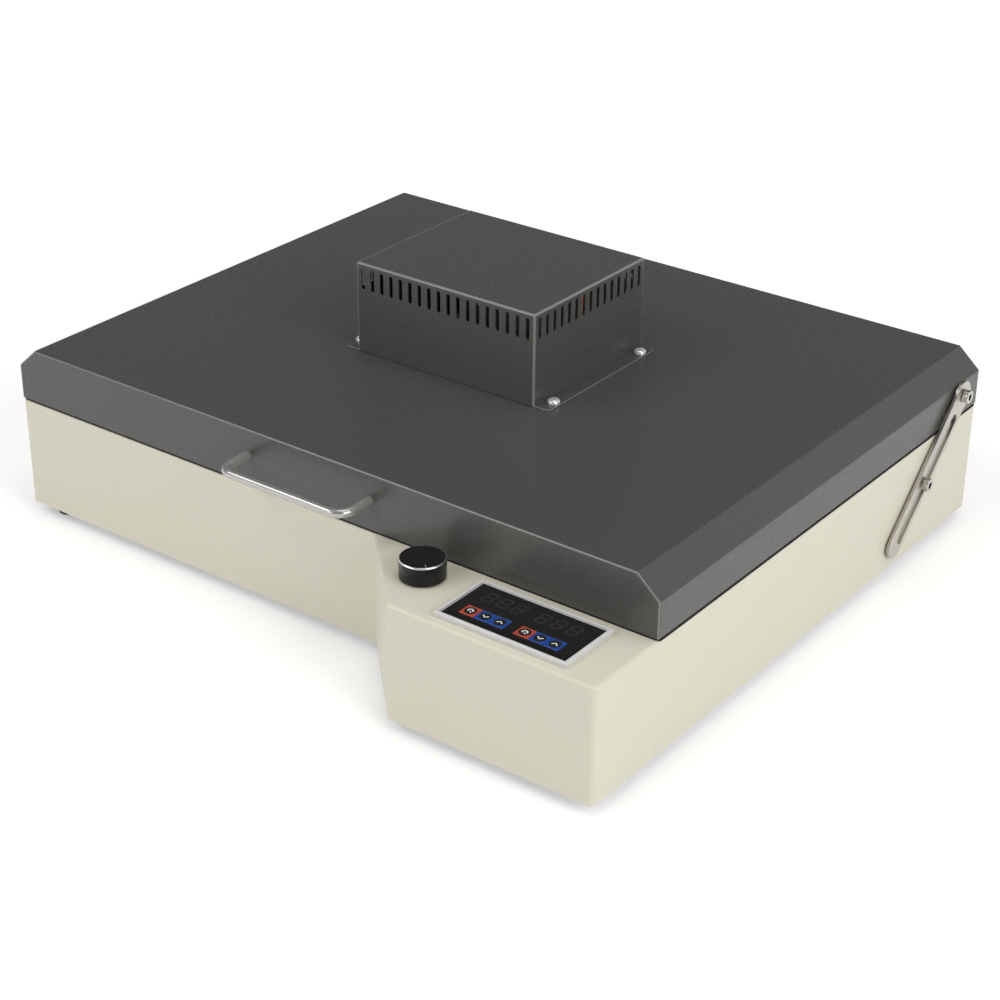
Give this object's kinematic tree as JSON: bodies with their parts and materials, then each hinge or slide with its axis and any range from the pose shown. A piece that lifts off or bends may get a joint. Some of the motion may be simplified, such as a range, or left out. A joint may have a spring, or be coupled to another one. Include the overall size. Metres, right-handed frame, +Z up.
{
  "type": "reflow oven",
  "caption": "Flat bench-top reflow oven: cream steel base with front control console, grey lift-up lid with wire handle, vented fan cover and slotted lid stays.",
  "frame": {"origin": "on the bench below the middle of the whole oven's bounding box", "axes": "+X to the oven's right seen from its front, +Y to the rear hinge, +Z up"},
  "size_m": [0.5538, 0.478, 0.1957],
  "materials": {
    "base_paint": "fine-textured cream powder coat",
    "lid_paint": "fine-textured dark grey powder coat",
    "zinc_sheet": "zinc plated sheet",
    "zinc_screw": "zinc plated",
    "nickel_steel": "satin nickel plate",
    "nickel_screw": "bright nickel plate",
    "handle_steel": "polished round bar",
    "stainless": "bright rolled stainless sheet",
    "rack_steel": "bright rolled strip",
    "black_rubber": "matt",
    "ceramic_fibre": "white fibre felt",
    "ceramic": "unglazed white ceramic",
    "quartz": "milky quartz",
    "motor_case": "cast and turned",
    "red_lead": "silicone insulation",
    "white_plastic": "moulded, fine satin",
    "black_plastic": "moulded, satin",
    "display_black": "smooth dark film",
    "display_module": "moulded",
    "circuit_board": "solder mask",
    "key_red": "printed film over a key",
    "key_blue": "printed film over a key",
    "knob_black": "black anodised, bright cut rim",
    "brass_pin": "plated contact",
    "rocker_plastic": "moulded, glossy"
  },
  "bodies": {
    "base": {"base_shell": "base_paint", "bottom_plate": "zinc_sheet", "rubber_feet": "black_rubber", "foot_screws": "zinc_screw", "chamber_pan": "stainless", "base_insulation": "ceramic_fibre", "chassis_rails": "zinc_sheet", "work_rack": "rack_steel", "lid_gasket": "black_rubber", "thermocouple": "stainless", "hinge_base_leaves": "zinc_sheet", "hinge_pins": "zinc_screw", "stay_studs": "nickel_screw", "meter_bezel": "white_plastic", "display_window": "display_black", "meter_case": "black_plastic", "controller_board": "circuit_board", "led_displays": "display_module", "meter_clamps": "black_plastic", "potentiometer": "motor_case", "pot_nut": "nickel_screw", "power_inlet": "black_plastic", "inlet_screws": "zinc_screw", "inlet_pins": "brass_pin", "switch_frame": "black_plastic", "base_loom_bush": "black_rubber", "solid_state_relay": "black_plastic"},
    "lid": {"lid_shell": "lid_paint", "lid_liner": "stainless", "lid_insulation": "ceramic_fibre", "heater_tubes": "quartz", "heater_caps": "ceramic", "heater_clips": "stainless", "heater_guard": "rack_steel", "vent_cover": "lid_paint", "vent_cover_screws": "nickel_screw", "handle": "handle_steel", "handle_screws": "zinc_screw", "motor_bracket": "zinc_sheet", "fan_motor": "motor_case", "terminal_shelf": "zinc_sheet", "terminal_block": "ceramic", "motor_leads": "red_lead", "hinge_lid_leaves": "zinc_sheet", "stay_pivot_screws": "nickel_screw", "lid_loom_bush": "black_rubber"},
    "stay_right": {"stay_arm_right": "nickel_steel"},
    "stay_left": {"stay_arm_left": "nickel_steel"},
    "fan": {"fan_impeller": "stainless", "fan_shaft": "zinc_screw"},
    "knob": {"knob": "knob_black", "knob_grub_screw": "zinc_screw", "pot_shaft": "zinc_screw"},
    "power_rocker": {"switch_rocker": "rocker_plastic"},
    "temperature_mode_key": {"temperature_mode_key": "key_red"},
    "temperature_down_key": {"temperature_down_key": "key_blue"},
    "temperature_up_key": {"temperature_up_key": "key_blue"},
    "time_mode_key": {"time_mode_key": "key_red"},
    "time_down_key": {"time_down_key": "key_blue"},
    "time_up_key": {"time_up_key": "key_blue"}
  },
  "joints": [
    {"name": "lid_hinge", "type": "hinge", "parent": "base", "child": "lid", "pos_m": [0, 0.235, 0.0783], "axis": [-1, 0, 0], "range_deg": [0, 58]},
    {"name": "stay_right_pivot", "type": "hinge", "parent": "lid", "child": "stay_right", "pos_m": [0.27075, 0.1999, 0.1075], "axis": [-1, 0, 0], "range_deg": [-48.98, 0]},
    {"name": "stay_left_pivot", "type": "hinge", "parent": "lid", "child": "stay_left", "pos_m": [-0.27075, 0.1999, 0.1075], "axis": [-1, 0, 0], "range_deg": [-48.98, 0]},
    {"name": "fan_spin", "type": "hinge", "parent": "lid", "child": "fan", "pos_m": [0, 0.0274, 0.11], "axis": [0, 0, 1], "continuous": true},
    {"name": "knob_turn", "type": "hinge", "parent": "base", "child": "knob", "pos_m": [0.113, -0.1998, 0.0959], "axis": [0, 0, 1], "range_deg": [-150, 150]},
    {"name": "switch_rock", "type": "hinge", "parent": "base", "child": "power_rocker", "pos_m": [-0.045, 0.2305, 0.044], "axis": [1, 0, 0], "range_deg": [0, 20]},
    {"name": "temperature_mode_key_press", "type": "slide", "parent": "base", "child": "temperature_mode_key", "axis": [0, 0, -1], "range_m": [0, 0.0005], "stiffness_N_per_m": 1000},
    {"name": "temperature_down_key_press", "type": "slide", "parent": "base", "child": "temperature_down_key", "axis": [0, 0, -1], "range_m": [0, 0.0005], "stiffness_N_per_m": 1000},
    {"name": "temperature_up_key_press", "type": "slide", "parent": "base", "child": "temperature_up_key", "axis": [0, 0, -1], "range_m": [0, 0.0005], "stiffness_N_per_m": 1000},
    {"name": "time_mode_key_press", "type": "slide", "parent": "base", "child": "time_mode_key", "axis": [0, 0, -1], "range_m": [0, 0.0005], "stiffness_N_per_m": 1000},
    {"name": "time_down_key_press", "type": "slide", "parent": "base", "child": "time_down_key", "axis": [0, 0, -1], "range_m": [0, 0.0005], "stiffness_N_per_m": 1000},
    {"name": "time_up_key_press", "type": "slide", "parent": "base", "child": "time_up_key", "axis": [0, 0, -1], "range_m": [0, 0.0005], "stiffness_N_per_m": 1000}
  ],
  "couplings": [
    {"joint": "stay_right_pivot", "follows": "lid_hinge", "ratio": -0.84368},
    {"joint": "stay_left_pivot", "follows": "lid_hinge", "ratio": -0.84368}
  ]
}
